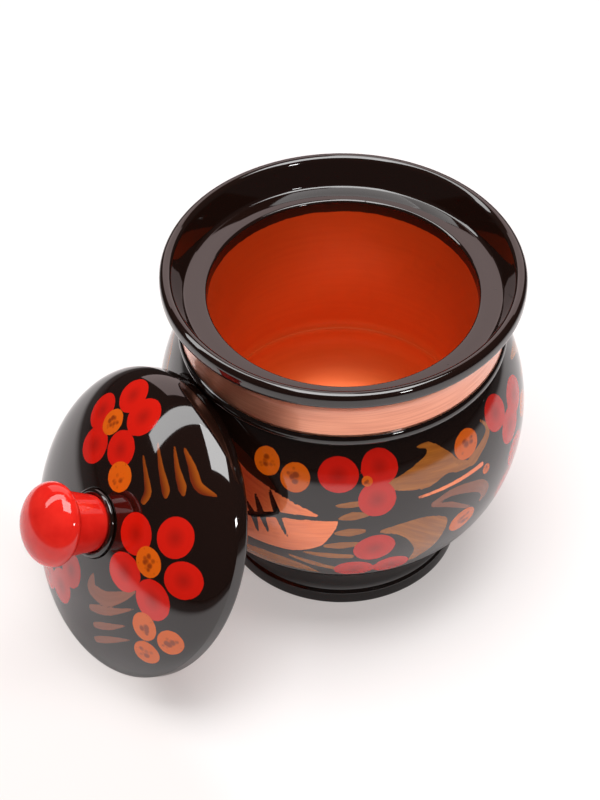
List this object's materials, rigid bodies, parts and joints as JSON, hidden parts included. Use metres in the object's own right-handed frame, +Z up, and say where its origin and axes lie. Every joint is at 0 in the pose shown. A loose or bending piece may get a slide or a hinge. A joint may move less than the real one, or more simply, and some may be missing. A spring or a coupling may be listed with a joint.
{
  "type": "salt pot",
  "caption": "Round turned wooden salt pot with a flared lip, lacquered and painted with berries; its loose domed lid has a red knob and leans on the pot.",
  "frame": {"origin": "centre of the foot's flat underside, on the table", "axes": "+Z up along the pot's axis; the picture looks along +Y and down; the lid leans on the pot at -X, -Y"},
  "size_m": [0.1279, 0.1181, 0.0901],
  "materials": {
    "black_lacquer": "gloss lacquer",
    "red_lacquer": "gloss lacquer"
  },
  "bodies": {
    "pot": {"pot": "black_lacquer"},
    "lid": {"lid": "black_lacquer", "knob": "red_lacquer"}
  },
  "joints": [
    {"name": "lid_pull", "type": "slide", "parent": "pot", "child": "lid", "axis": [-0.7509, -0.4692, 0.4648], "range_m": [0, 0.12]}
  ]
}
